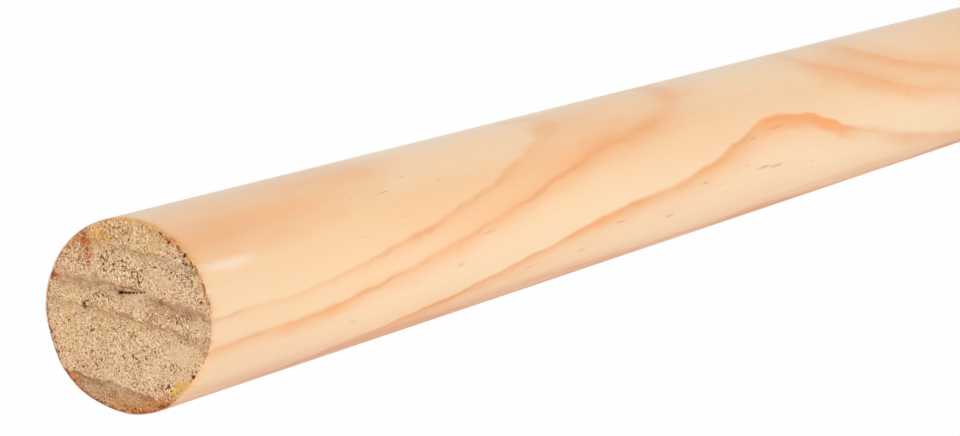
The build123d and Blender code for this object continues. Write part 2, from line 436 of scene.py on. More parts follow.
# The wall's marks and finish
MARK_SPAN = (0.35, 1.25)  # a mark fades out between these shares of its half size
ACCENT_STRAY = (260.0, 0.4, 0.5 * MM)
FLECK_STRAY = (700.0, 0.4, 0.5 * MM)
FLECK_GAPS = ((0.3, 900.0, 2.0), (0.3, 0.6, 0.32, 0.7))
SMEAR_STRAY = (500.0, 0.3, 0.8 * MM)
SMEAR_STRENGTH = 0.58
WALL_BREAK_STRENGTH = 0.7
STREAKS = (0.012, 1500.0, 2.0)
STREAK_TINT_SPAN = (0.5, 0.8, 0.0, 0.07)
WALL_ROUGHNESS_SPAN = (0.3, 0.7, 0.42, 0.52)
WALL_SPECULAR = 0.35
WALL_SHEEN = 0.08
WALL_SHEEN_ROUGHNESS = 0.4
WALL_BUMP = (0.08, 0.05 * MM)  # strength and depth
# The sawn end's grain and finish
STAIN_PATCHES = ((1.0, 700.0, 3.0), (0.3, 0.52, 0.6, 1.0))
END_TINTS = ((1.0, 330.0, 3.0), (0.38, 0.62))
END_CLOUDS = ((1.0, 800.0, 3.0), (0.5, 0.72, 0.0, 0.3))
END_LATE_STRENGTH = 0.78
END_YEAR_SPAN = (0.78, 1.0, 0.0, 0.6)
CELL_ROWS = 75.0  # rows of dark cells to a diameter of ring place
CELL_NOISE = (1.0, 300.0, 2.0)
CELL_STRAY = 1.5
CELL_DETAIL = 2.0
CELL_SPAN = (0.46, 0.64, 0.0, 0.55)
SPECKS = (1.0, 4000.0, 3.0, 0.6)
# pale specks sit where the speck bump is highest: partly painted highlight
PALE_SPECK_SPAN = (0.54, 0.68, 0.0, 0.85)
DARK_SPECK_SPAN = (0.45, 0.34, 0.0, 0.9)
PIT_SPAN = (0.5, 0.66, 0.0, 0.95)
SAW_STRAY = (900.0, 1.0, 0.25 * MM)
SAW_LINE_SPAN = (0.0, 0.9)
SAW_BUMP_SHARE = 0.5
CHECK_STRAY = (2500.0, 1.0, 0.12 * MM)
SPLIT_STRENGTH = 0.6
SLIVER_STRENGTH = 0.7
END_ROUGHNESS_SPAN = (0.0, 1.0, 0.92, 0.7)
END_SPECULAR = 0.1
END_BUMP = (0.5, 0.1 * MM)

# The mesh: cells across each end, columns round the wall, and its rows by their distance from an end
END_CELLS = 200
FOOT_CELLS = 100
WALL_COLUMNS = 200
WALL_PITCH = 2.6 * MM
WALL_MARGIN = 6.0 * MM
RIM_ROWS_MM = (0.32, 0.48, 0.68, 0.92, 1.2, 1.55, 1.9)
TOP_ROWS_MM = (2.3, 2.8, 3.5, 4.4)
FOOT_ROWS_MM = (4.0, 2.4, 1.2)
ARRIS_TURNS = (30, 60, 90)
MARKS = ("ring", "pit", "cream", "late", "smooth", "saw", "check", "split", "break", *STAINS)
# The piece's own map: the wall in the lower strip, the top end and the foot in the upper squares
WALL_MAP_HEIGHT = 0.48
TOP_MAP_CENTRE = (0.25, 0.75)
FOOT_MAP_CENTRE = (0.75, 0.75)
END_MAP_RADIUS = 0.24


def linear(colour):
    """Scene-linear RGBA of an sRGB colour written 0 to 255."""
    parts = [c / 255 for c in colour]
    return [c / 12.92 if c <= 0.04045 else ((c + 0.055) / 1.055) ** 2.4 for c in parts] + [1.0]


def along_profile(values, stops):
    """Amounts at these values on a line through (value, amount) stops."""
    return np.interp(values, *zip(*stops))


def step(values, start, end):
    """Smooth rise from 0 at start to 1 at end."""
    t = np.clip((values - start) / (end - start), 0, 1)
    return t * t * (3 - 2 * t)


def turned(x, y, turn):
    """Distances along and across a direction."""
    return x * math.cos(turn) + y * math.sin(turn), y * math.cos(turn) - x * math.sin(turn)


def ring_place(x, y, from_top):
    """A point's ring place: its distance from the pith less the axis's, plus the rings' drift."""
    along, across = turned(x, y, BARK_TURN)
    from_pith = np.hypot(along / DIAMETER + PITH_DISTANCE_SHARE, across / DIAMETER)
    return from_pith - PITH_DISTANCE_SHARE + along_profile(from_top / DIAMETER, RING_DRIFT)


class Field:
    """Random smooth relief over the square round an end, mean 0 and spread 1, read at any point."""

    RASTER = 512

    def __init__(self, rng, grain):
        noise = np.fft.rfft2(rng.standard_normal((self.RASTER, self.RASTER)))
        rows, columns = np.fft.fftfreq(self.RASTER)[:, None], np.fft.rfftfreq(self.RASTER)[None]
        waves = np.hypot(rows, columns) * self.RASTER
        damping = np.exp(-((waves * grain / DIAMETER) ** 2))
        smooth = np.fft.irfft2(noise * damping, s=(self.RASTER, self.RASTER))
        self.values = smooth / smooth.std()

    def at(self, x, y):
        col = (x / DIAMETER + 0.5) * self.RASTER
        row = (y / DIAMETER + 0.5) * self.RASTER
        c, r = np.floor(col).astype(int), np.floor(row).astype(int)
        a, b = col - c, row - r
        value = lambda i, j: self.values[j % self.RASTER, i % self.RASTER]
        near = value(c, r) * (1 - a) + value(c + 1, r) * a
        far = value(c, r + 1) * (1 - a) + value(c + 1, r + 1) * a
        return near * (1 - b) + far * b


def blot(x, y, spots, fray):
    """Amount of ragged oval zones or stains on an end."""
    total = np.zeros_like(x)
    for cx, cy, half_length, half_width, turn, strength in spots:
        along, across = turned(x / DIAMETER - cx, y / DIAMETER - cy, math.radians(turn))
        ragged = BLOT_FRAY * min(1.0, half_width / BLOT_FRAY_WIDTH)
        reach = np.hypot(along / half_length, across / half_width) + ragged * fray
        total = np.maximum(total, strength * (1 - step(reach, *BLOT_SPAN)))
    return total


def end_stains(x, y, fray):
    """Amount of each stain on the sawn end, with those along the rim."""
    stains = {name: blot(x, y, spots, fray) for name, spots in STAINS.items()}
    reach = np.hypot(x, y) / DIAMETER + RIM_FRAY * fray
    turns = np.degrees(np.arctan2(y, x))
    for name, turn, half_span, inner, strength in RIM_STAINS:
        aside = np.abs((turns - turn + 180) % 360 - 180) / half_span + RIM_SPAN_FRAY * fray
        band = strength * (1 - step(aside, *RIM_SPAN)) * step(reach, inner, inner + RIM_STAIN_EDGE)
        stains[name] = np.maximum(stains[name], band)
    return stains


def check_cut(x, y, fray):
    """Depth of the drying check, and how dark its slit and the split beside it are at each point; the
    slit's and head pit's darkness stands as painted shade in the crack.
    """
    along, across = turned(x - CHECK_CENTRE[0], y - CHECK_CENTRE[1], CHECK_TURN)
    share = np.clip(along / CHECK_LENGTH + 0.5, 0, 1)
    inside = (along > -CHECK_LENGTH / 2) & (along < CHECK_LENGTH / 2)
    half = CHECK_WIDTH * (SLIT_TAIL_SHARE + SLIT_GAIN_SHARE * share)
    slit = inside * (1 - step(np.abs(across + SLIT_FRAY * fray), half, half + SLIT_EDGE))
    head = np.hypot(HEAD_SQUEEZE * (along - CHECK_LENGTH / 2 - HEAD_OFFSET), across) / CHECK_PIT
    pit = 1 - step(head + HEAD_FRAY * fray, *HEAD_SPAN)
    aside = np.abs(across + (SPLIT_TAIL_MM + SPLIT_GAIN_MM * share) * MM + SPLIT_FRAY * fray)
    split = inside * (1 - step(aside, *SPLIT_SPAN)) * (SPLIT_TAIL_DARKNESS + SPLIT_GAIN_DARKNESS * share)
    depth = np.maximum(slit * share * CHECK_DEPTH * SLIT_DEPTH_SHARE, pit * CHECK_PIT)
    return depth + SPLIT_DEPTH * split, np.maximum(SLIT_DARKNESS * slit, pit), split


def sawn_end(rng, x, y):
    """Relief of the rough-sawn top end, as depth below the end plane, and its marks."""
    fray = Field(rng, FRAY_GRAIN).at(x, y)
    rings = ring_place(x, y, np.zeros_like(x)) + END_RING_STRAY * Field(rng, RING_GRAIN).at(x, y)
    patches = PATCH_MEAN + PATCH_SPREAD * Field(rng, PATCH_GRAIN).at(x, y)
    patchy = np.where(rings > PATCHY_FROM, np.clip(patches, PATCH_LEAST, 1.0), 1.0)
    late = along_profile(rings, END_LATE_WOOD) * patchy
    torn = blot(x, y, TORN_ZONES, fray)
    cut_clean = blot(x, y, SMOOTH_ZONES, fray)
    smooth = np.clip(cut_clean + LATE_SMOOTHNESS * late, 0, 1)
    rough = 1 - SMOOTH_EASE * smooth + TORN_ROUGHNESS * torn
    swell = Field(rng, SWELL_GRAIN).at(x, y)
    clusters = Field(rng, CLUSTER_GRAIN).at(x, y)
    fibre = Field(rng, FIBRE_GRAIN).at(x, y)
    along, across = turned(x, y, RIDGE_TURN)
    ridge = Field(rng, RIDGE_GRAIN).at(RIDGE_STRETCH * along, across)
    pores = Field(rng, PORE_GRAIN).at(PORE_STRETCH * along, across)
    edge = PORE_EDGE - CLUSTER_PORES * clusters - TORN_PORES * torn + SMOOTH_PORES * smooth
    pits = step(pores, edge, edge + PORE_SLOPE)
    saw_along, saw_across = turned(x - SAW_CENTRE[0], y - SAW_CENTRE[1], SAW_TURN)
    relief = END_SET_BACK + SWELL_HEIGHT * swell + FIBRE_HEIGHT * fibre * rough
    relief = relief + RIDGE_HEIGHT * ridge * torn + PIT_DEPTH * pits
    cut, check, split = check_cut(x, y, fray)
    marks = {
        "pit": np.clip(0.5 + PIT_MARK_GAIN * (pores - edge), 0, 1),
        # pale on the highest fibre and ridge tops: their colour and a painted highlight
        "cream": step(-fibre * rough - RIDGE_CREAM * ridge * torn, *CREAM_SPAN),
        "late": late,
        "smooth": cut_clean,
        "saw": np.exp(-((saw_along / SAW_REACH[0]) ** 2) - (saw_across / SAW_REACH[1]) ** 2),
        "check": check,
        "split": split,
    }
    return MM * np.clip(relief, 0.0, None) + cut, marks | end_stains(x, y, fray)


def broken(points, grain):
    """Points moved in to the rim's long breaks and its nicks, and how far the breaks moved each."""
    moved = points.copy()
    radius = DIAMETER / 2
    for turn, half_span, bite, drop in LONG_BREAKS:
        half_chord = radius * math.sin(math.radians(half_span))
        rise = radius - bite - radius * math.cos(math.radians(half_span))
        lip = (half_chord**2 + rise**2) / (2 * rise)
        a = math.radians(turn)
        centre = (radius - bite - lip) * np.array([math.cos(a), math.sin(a)])
        away = moved[:, :2] - centre
        reach = np.linalg.norm(away, axis=1, keepdims=True)
        facet = math.hypot(bite, drop)
        proud = ((reach - lip) * drop + (moved[:, 2:] - LENGTH) * bite) / facet
        inward = np.clip(proud, 0, None) + grain * step(proud, 0.0, BREAK_GRAIN_RISE)
        moved[:, :2] -= away / reach * inward * drop / facet
        moved[:, 2:] -= inward * bite / facet
    bevelled = np.linalg.norm(moved - points, axis=1)
    for turn, share in NICKS:
        bite, drop, hollow = NICK_BITE * share, NICK_DROP * share, NICK_HOLLOW * share
        facet = math.hypot(bite, drop)
        reach = math.sqrt(hollow**2 - facet**2 / 4)
        out = radius - bite / 2 + reach * drop / facet
        up = LENGTH - drop / 2 + reach * bite / facet
        a = math.radians(turn)
        centre = np.array([out * math.cos(a), out * math.sin(a), up])
        away = moved - centre
        gap = np.linalg.norm(away, axis=1, keepdims=True)
        moved = np.where(gap < hollow, centre + away * (hollow / gap), moved)
    return moved, bevelled


def worn_rim(rng, turns):
    """How far the sawn rim is worn in at each turn: fine all round, splintery where the saw left last."""
    waves = sum(np.sin(turns * k + rng.uniform(0, 2 * math.pi)) / math.sqrt(k) for k in RIM_WAVES)
    fine = np.clip(0.5 + RIM_WAVE_GAIN * waves, 0, 2)
    degrees = np.degrees(turns)
    splintered = sum(np.exp(-(((degrees - turn) / spread) ** 2)) for turn, spread in SPLINTERED)
    return MM * fine * (RIM_WEAR_MM + SPLINTER_WEAR_MM * splintered)


def disc(cells):
    """A square grid drawn out to a unit disc: its points, its quads, its rim's points and their turns."""
    side = np.linspace(-1, 1, cells + 1)
    a, b = (g.ravel() for g in np.meshgrid(side, side))
    wide = np.abs(a) > np.abs(b)
    with np.errstate(divide="ignore", invalid="ignore"):
        turn = np.where(wide, math.pi / 4 * b / a, math.pi / 2 - math.pi / 4 * a / b)
    turn = np.nan_to_num(turn)
    reach = np.where(wide, a, b)
    points = np.stack([reach * np.cos(turn), reach * np.sin(turn)], 1)
    i = np.arange(cells * (cells + 1)).reshape(cells, cells + 1)[:, :-1].ravel()
    quads = np.stack([i, i + 1, i + cells + 2, i + cells + 1], 1)
    rim = np.flatnonzero(np.maximum(np.abs(a), np.abs(b)) > 1 - 1e-9)
    turns = np.arctan2(points[rim, 1], points[rim, 0])
    order = np.argsort(turns)
    return points, quads, rim[order], turns[order]


class RodMesh:
    """Collects the rod's points with their marks, and its faces with their places on the map."""

    def __init__(self):
        self.points, self.marks, self.faces, self.ends, self.map = [], [], [], [], []
        self.count = 0
        self.last, self.last_z = None, LENGTH

    def add(self, points, marks):
        """Adds points with their marks and returns their numbers."""
        rows = np.zeros((len(points), len(MARKS)))
        rows[:, 0] = ring_place(points[:, 0], points[:, 1], LENGTH - points[:, 2])
        for name, values in marks.items():
            rows[:, MARKS.index(name)] = values
        self.points.append(points)
        self.marks.append(rows)
        self.count += len(points)
        return np.arange(self.count - len(points), self.count)

    def face(self, corners, end):
        """One face from (point, place on the map) corners."""
        self.faces.append([int(point) for point, _ in corners])
        self.map.extend(place for _, place in corners)
        self.ends.append(end)

    def band(self, lower, z):
        """Faces from the last loop to a lower one, both in order of turn; one may have twice the points."""
        upper = self.last
        fine = max(len(upper), len(lower))
        at = lambda n, z: (1 - z / LENGTH, WALL_MAP_HEIGHT * n / fine)
        up = lambda n: (upper[n * len(upper) // fine % len(upper)], at(n, self.last_z))
        down = lambda n: (lower[n * len(lower) // fine % len(lower)], at(n, z))
        for n in range(0, fine, 2):
            a, b, c = up(n), up(n + 1), up(n + 2)
            p, q, r = down(n), down(n + 1), down(n + 2)
            if len(upper) == len(lower):
                faces = (a, p, q, b), (b, q, r, c)
            elif len(upper) > len(lower):
                faces = (a, p, b), (b, p, r), (b, r, c)
            else:
                faces = (a, p, q), (a, q, c), (c, q, r)
            for corners in faces:
                self.face(corners, False)
        self.last, self.last_z = lower, z

    def end(self, unit, quads, numbers, centre):
        """The quads of one end, in the order given."""
        places = END_MAP_RADIUS * unit + centre
        for quad in quads:
            self.face([(numbers[c], places[c]) for c in quad], True)


def add_top(mesh, rng):
    """The sawn end, its arris and the first rows of wall; returns the turn at which the rows start."""
    unit, quads, rim, turns = disc(END_CELLS)
    out = np.column_stack([np.cos(turns), np.sin(turns)])
    worn = worn_rim(rng, turns)
    flat = unit * (RADIUS - TOP_ARRIS)
    depth, marks = sawn_end(rng, *flat.T)
    points = np.column_stack([flat, LENGTH - depth])
    points[rim, :2] -= out * worn[:, None]
    grain = BREAK_ROUGHNESS * np.abs(Field(rng, BREAK_GRAIN).at(*flat.T))
    points, bevelled = broken(points, grain[:, None])
    numbers = mesh.add(points, marks | {"break": step(bevelled, 0.0, BREAK_EDGE)})
    mesh.end(unit, quads, numbers, TOP_MAP_CENTRE)

    arris = [(1 - math.sin(t), 1 - math.cos(t), 1 - 2 * t / math.pi) for t in np.radians(ARRIS_TURNS)]
    rows = [(TOP_ARRIS * inset, TOP_ARRIS * drop, share) for inset, drop, share in arris]
    rows += [(0.0, drop * MM, 0.0) for drop in RIM_ROWS_MM]
    mesh.last = numbers[rim]
    for inset, drop, share in rows:
        fade = math.exp(-drop / RIM_FADE)
        reach = RADIUS - inset - worn * fade
        heights = LENGTH - drop - depth[rim] * share
        points, bevelled = broken(np.column_stack([out * reach[:, None], heights]), grain[rim, None])
        rim_marks = {name: marks[name][rim] * fade for name in STAINS if name not in FLAT_STAINS}
        lower = mesh.add(points, rim_marks | {"break": step(bevelled, 0.0, BREAK_EDGE)})
        mesh.band(lower, LENGTH - drop)
    return turns[0]


def add_foot(mesh, rng):
    """The foot's arris and its plain sawn end, below the wall's last row."""
    unit, quads, rim, turns = disc(FOOT_CELLS)
    out = np.column_stack([np.cos(turns), np.sin(turns)])
    for t in np.radians(ARRIS_TURNS[:-1]):
        reach = RADIUS - FOOT_ARRIS * (1 - math.cos(t))
        z = FOOT_ARRIS * (1 - math.sin(t))
        mesh.band(mesh.add(np.column_stack([out * reach, np.full(len(out), z)]), {}), z)
    flat = unit * (RADIUS - FOOT_ARRIS)
    depth, marks = sawn_end(rng, *flat.T)
    inner = 1 - step(np.hypot(*flat.T), RADIUS - FOOT_RIM[0], RADIUS - FOOT_RIM[1])
    lift = np.clip(FOOT_RELIEF_SHARE * depth - FOOT_PLANED, 0, FOOT_RELIEF_MOST) * inner
    rings = ring_place(*flat.T, np.full(len(flat), LENGTH))
    foot_marks = {
        "pit": marks["pit"] - FOOT_PIT_EASE,
        "cream": FOOT_CREAM_SHARE * marks["cream"],
        "late": along_profile(rings, END_LATE_WOOD),
    }
    numbers = mesh.add(np.column_stack([flat, lift]), foot_marks)
    mesh.band(numbers[rim], 0.0)
    mesh.end(unit, quads[:, ::-1], numbers, FOOT_MAP_CENTRE)


def build_rod():
    """The whole rod's mesh, from the top end down."""
    rng = np.random.default_rng(SEED)
    mesh = RodMesh()
    first_turn = add_top(mesh, rng)
    rows = [(2 * WALL_COLUMNS, LENGTH - drop * MM) for drop in TOP_ROWS_MM]
    long_rows = round((LENGTH - 2 * WALL_MARGIN) / WALL_PITCH)
    rows += [(WALL_COLUMNS, z) for z in np.linspace(LENGTH - WALL_MARGIN, WALL_MARGIN, long_rows)]
    rows += [(2 * WALL_COLUMNS, z) for z in (*(rise * MM for rise in FOOT_ROWS_MM), FOOT_ARRIS)]
    for columns, z in rows:
        angles = first_turn + 2 * math.pi * np.arange(columns) / columns
        loop = np.column_stack([RADIUS * np.cos(angles), RADIUS * np.sin(angles), np.full(columns, z)])
        mesh.band(mesh.add(loop, {}), z)
    add_foot(mesh, rng)
    return mesh


def make_piece(mesh, name, materials):
    """The Blender object of the collected mesh, with its marks as point attributes."""
    data = bpy.data.meshes.new(name)
    data.from_pydata(np.concatenate(mesh.points).tolist(), [], mesh.faces)
    data.polygons.foreach_set("use_smooth", [True] * len(mesh.faces))
    data.polygons.foreach_set("material_index", [int(end) for end in mesh.ends])
    for mark, values in zip(MARKS, np.concatenate(mesh.marks).T):
        data.attributes.new(mark, "FLOAT", "POINT").data.foreach_set("value", values.astype(np.float32))
    layer = data.uv_layers.new(name="OFBake")
    layer.uv.foreach_set("vector", np.array(mesh.map, dtype=np.float32).ravel())
    for material in materials:
        data.materials.append(material)
    piece = bpy.data.objects.new(name, data)
    bpy.context.scene.collection.objects.link(piece)
    return piece


class Nodes:
    """Builds the nodes of a material or world by plain calls."""

    def __init__(self, holder, start="Principled BSDF"):
        holder.use_nodes = True
        self.holder = holder
        self.tree = holder.node_tree
        self.shader = self.tree.nodes[start]
        self.colour = None

    def add(self, kind, inputs, **settings):
        node = self.tree.nodes.new(kind)
        for key, value in settings.items():
            setattr(node, key, value)
        for key, value in inputs.items():
            self.put(node.inputs[key], value)
        return node

    def put(self, socket, value):
        if isinstance(value, bpy.types.NodeSocket):
            self.tree.links.new(value, socket)
        else:
            socket.default_value = value

    def set(self, name, value):
        """Sets an input of the shader."""
        self.put(self.shader.inputs[name], value)

    def mark(self, name):
        return self.add("ShaderNodeAttribute", {}, attribute_name=name).outputs["Fac"]

    def calc(self, operation, a, b=0.0, clamp=False):
        return self.add("ShaderNodeMath", {0: a, 1: b}, operation=operation, use_clamp=clamp).outputs[0]

    def times(self, a, b, clamp=False):
        return self.calc("MULTIPLY", a, b, clamp)

    def plus(self, a, b, clamp=False):
        return self.calc("ADD", a, b, clamp)

    def vector(self, operation, a, b):
        return self.add("ShaderNodeVectorMath", {0: a, 1: b}, operation=operation).outputs[0]

    def dot(self, a, b):
        return self.add("ShaderNodeVectorMath", {0: a, 1: b}, operation="DOT_PRODUCT").outputs["Value"]

    def place(self, along=1.0):
        """Object coordinates, with those along the rod times a share."""
        where = self.add("ShaderNodeTexCoord", {}).outputs["Object"]
        return self.vector("MULTIPLY", where, (1, 1, along))

    def towards(self, turn):
        """Distance from the axis towards a turn about it, in diameters."""
        return self.dot(self.place(), (math.cos(turn) / DIAMETER, math.sin(turn) / DIAMETER, 0))

    def noise(self, along, scale, detail=2.0, roughness=0.5, output="Fac"):
        inputs = {"Vector": self.place(along), "Scale": scale, "Detail": detail, "Roughness": roughness}
        return self.add("ShaderNodeTexNoise", inputs).outputs[output]

    def waver(self, noise):
        """Noise about 0."""
        return self.calc("SUBTRACT", self.noise(*noise), 0.5)

    def mottle(self, noise, span):
        """Noise drawn out over a span."""
        return self.span(self.noise(*noise), *span)

    def strayed(self, scale, along, amount):
        """Object coordinates that stray by up to half an amount either way."""
        stray = self.vector("SUBTRACT", self.noise(along, scale, output="Color"), (0.5, 0.5, 0.5))
        return self.vector("ADD", self.place(), self.vector("MULTIPLY", stray, (amount, amount, amount)))

    def span(self, value, low, high, start=0.0, end=1.0):
        """Value from low to high, drawn out to start to end and held there."""
        inputs = {"Value": value, "From Min": low, "From Max": high, "To Min": start, "To Max": end}
        return self.add("ShaderNodeMapRange", inputs).outputs["Result"]

    def profile(self, value, stops):
        """A grey ramp through (value, amount) stops."""
        first, last = stops[0][0], stops[-1][0]
        ramp = self.add("ShaderNodeValToRGB", {"Fac": self.span(value, first, last)})
        while len(ramp.color_ramp.elements) < len(stops):
            ramp.color_ramp.elements.new(0.5)
        for element, (at, amount) in zip(ramp.color_ramp.elements, stops):
            element.position = (at - first) / (last - first)
            element.color = (amount, amount, amount, 1)
        return ramp.outputs["Color"]

    def lay(self, amount, tint):
        """Lays an amount of a tint over the colour so far."""
        inputs = {"Factor": amount, 6: self.colour, 7: linear(tint)}
        self.colour = self.add("ShaderNodeMix", inputs, data_type="RGBA").outputs[2]

    def most(self, amounts):
        """The largest of several amounts."""
        largest = amounts[0]
        for amount in amounts[1:]:
            largest = self.calc("MAXIMUM", largest, amount)
        return largest

    def finish(self, roughness, specular, height, bump):
        """The material, with the colour so far, roughness, gloss, and bump of (strength, depth)."""
        strength, depth = bump
        relief = self.add("ShaderNodeBump", {"Height": height, "Strength": strength, "Distance": depth})
        self.set("Base Color", self.colour)
        self.set("Roughness", roughness)
        self.set("Specular IOR Level", specular)
        self.set("Normal", relief.outputs["Normal"])
        return self.holder


def wall_mark(nodes, where, along, turn, half_length, half_width, strength=1.0):
    """Amount of a slim mark on the wall, at a distance from the top end and a turn about the axis."""
    a = math.radians(turn)
    centre = (RADIUS * math.cos(a), RADIUS * math.sin(a), LENGTH - along * DIAMETER)
    half = [half_width * DIAMETER, half_width * DIAMETER, half_length * DIAMETER]
    unit = nodes.vector("DIVIDE", nodes.vector("SUBTRACT", where, centre), half)
    reach = nodes.add("ShaderNodeVectorMath", {0: unit}, operation="LENGTH").outputs["Value"]
    return nodes.span(reach, *MARK_SPAN, strength, 0.0)


def lay_stains(nodes):
    """The sawn end's stains, broken up by the grain."""
    patches = nodes.mottle(*STAIN_PATCHES)
    for name in STAINS:
        nodes.lay(nodes.times(nodes.mark(name), patches), STAIN_COLOURS[name])


def lay_rings(nodes, ring, from_top, bark_side):
    """The wall's late wood, year lines and thick orange late wood."""
    soft_share = nodes.span(from_top, *SOFT_SPAN)
    patches = nodes.mottle(*LATE_PATCHES)
    late = nodes.times(nodes.profile(ring, WALL_LATE_WOOD), patches, clamp=True)
    soft = nodes.times(nodes.profile(ring, WALL_SOFT_LATE_WOOD), patches, clamp=True)
    late = nodes.plus(late, nodes.times(nodes.calc("SUBTRACT", soft, late), soft_share))
    year = nodes.times(nodes.profile(ring, WALL_YEAR_LINES), nodes.mottle(*YEAR_GAPS))
    year = nodes.times(year, nodes.span(bark_side, *YEAR_BARK_SPAN))
    year = nodes.times(year, nodes.span(soft_share, *YEAR_SOFT_SPAN))
    strayed = nodes.strayed(*ACCENT_STRAY)
    accents = [wall_mark(nodes, strayed, *accent) for accent in WALL_ACCENTS]
    for across, along in RING_ACCENTS:
        accents.append(nodes.times(nodes.profile(ring, across), nodes.profile(from_top, along)))
    nodes.lay(nodes.times(late, LATE_STRENGTH), LATE_ORANGE)
    nodes.lay(year, YEAR_BROWN)
    nodes.lay(nodes.most(accents), ACCENT_ORANGE)


def lay_heart_and_shade(nodes, bark_side, waver):
    """The wall's veined heartwood tint, which also stands as painted shade along the lower edge the camera
    sees; it wanders, and fades towards the back.
    """
    wander = nodes.waver(HEART_AND_SHADE_WANDER)
    side = nodes.plus(bark_side, nodes.times(waver, HEART_AND_SHADE_WAVER_REACH))
    heart_and_shade = nodes.profile(nodes.plus(side, nodes.times(wander, HEART_AND_SHADE_WANDER_REACH)), HEART_AND_SHADE_SIDE)
    behind = nodes.dot(nodes.place(), (0, 1 / DIAMETER, 0))
    behind = nodes.plus(behind, nodes.times(wander, HEART_AND_SHADE_BACK_REACH))
    heart_and_shade = nodes.times(heart_and_shade, nodes.span(behind, *HEART_AND_SHADE_BACK_SPAN))
    # heartwood tint laid as painted shade on the lower edge the camera sees
    nodes.lay(nodes.times(heart_and_shade, nodes.mottle(*HEART_AND_SHADE_VEINS), clamp=True), HEART_AND_SHADE_ORANGE)


def wall_material():
    """Sanded pine: cream early wood, orange late wood, a heartwood tint that doubles as painted shade on
    the lower edge, a painted sheen down one side, streaks and marks.
    """
    nodes = Nodes(bpy.data.materials.new("sanded_pine"))
    from_top = nodes.plus(nodes.dot(nodes.place(), (0, 0, -1 / DIAMETER)), LENGTH / DIAMETER)
    bark_side = nodes.towards(BARK_TURN)
    waver = nodes.waver(RING_WAVER)
    ring = nodes.plus(nodes.mark("ring"), nodes.times(waver, RING_WAVER_REACH))
    warm = nodes.plus(nodes.mottle(*WARM_CLOUDS), nodes.profile(bark_side, WARM_SIDE), clamp=True)
    nodes.colour = linear(CREAM)
    nodes.lay(warm, APRICOT)
    lay_rings(nodes, ring, from_top, bark_side)
    lay_heart_and_shade(nodes, bark_side, waver)
    # painted sheen down one side of the wall
    nodes.lay(nodes.profile(nodes.towards(PAINTED_SHEEN_TURN), PAINTED_SHEEN_SIDE), PAINTED_SHEEN_TINT)
    # darker towards the top end
    nodes.lay(nodes.span(from_top, *TOP_END_DARKENING_SPAN), TOP_END_DARKENING)

    streaks = nodes.noise(*STREAKS)
    nodes.lay(nodes.span(streaks, *STREAK_TINT_SPAN), LATE_ORANGE)
    strayed = nodes.strayed(*FLECK_STRAY)
    flecks = nodes.most([wall_mark(nodes, strayed, *fleck) for fleck in WALL_FLECKS])
    nodes.lay(nodes.times(flecks, nodes.mottle(*FLECK_GAPS)), FLECK_BROWN)
    smear = wall_mark(nodes, nodes.strayed(*SMEAR_STRAY), *SMEAR)
    nodes.lay(nodes.times(smear, SMEAR_STRENGTH), SMEAR_PALE)
    nodes.lay(nodes.times(nodes.mark("break"), WALL_BREAK_STRENGTH), BREAK_PALE)
    lay_stains(nodes)

    nodes.set("Sheen Weight", WALL_SHEEN)
    nodes.set("Sheen Roughness", WALL_SHEEN_ROUGHNESS)
    roughness = nodes.span(streaks, *WALL_ROUGHNESS_SPAN)
    return nodes.finish(roughness, WALL_SPECULAR, streaks, WALL_BUMP)


def check_lines(nodes):
    """Amounts of the drying check's beaded slit, painted as shade in the crack, and of the sliver that
    stands off it.
    """
    offset = nodes.vector("SUBTRACT", nodes.strayed(*CHECK_STRAY), (*CHECK_CENTRE, 0.0))
    along = nodes.dot(offset, (math.cos(CHECK_TURN), math.sin(CHECK_TURN), 0))
    across = nodes.dot(offset, (-math.sin(CHECK_TURN), math.cos(CHECK_TURN), 0))
    half_length = CHECK_LENGTH / 2
    share = nodes.span(along, -half_length, half_length)
    inside = nodes.profile(along, [(at * half_length, amount) for at, amount in CHECK_FADE])
    waves = nodes.calc("SINE", nodes.times(along, 2 * math.pi / BEAD_PITCH))
    beads = nodes.times(nodes.span(waves, *BEAD_SPAN), nodes.span(share, *BEAD_GROWTH_SPAN))
    half = nodes.span(beads, 0.0, 1.0, *BEAD_HALVES)
    gap = nodes.calc("SUBTRACT", nodes.calc("ABSOLUTE", across), half)
    slit = nodes.span(gap, 0.0, BEAD_EDGE, 1.0, 0.0)
    slit = nodes.times(slit, nodes.span(beads, *BEAD_DARKNESS_SPAN))
    off = nodes.plus(across, nodes.span(share, 0.0, 1.0, *SLIVER_GAPS))
    sliver = nodes.span(nodes.calc("ABSOLUTE", off), *SLIVER_SPAN)
    return nodes.times(slit, inside), nodes.times(sliver, inside)


def late_cells(nodes, late):
    """Amount of the dark rows of cells in the sawn end's late wood."""
    rows = nodes.times(nodes.mark("ring"), CELL_ROWS)
    rows = nodes.plus(rows, nodes.times(nodes.noise(*CELL_NOISE), CELL_STRAY))
    inputs = {"W": rows, "Scale": 1.0, "Detail": CELL_DETAIL}
    cells = nodes.add("ShaderNodeTexNoise", inputs, noise_dimensions="1D").outputs["Fac"]
    return nodes.times(nodes.span(cells, *CELL_SPAN), late)


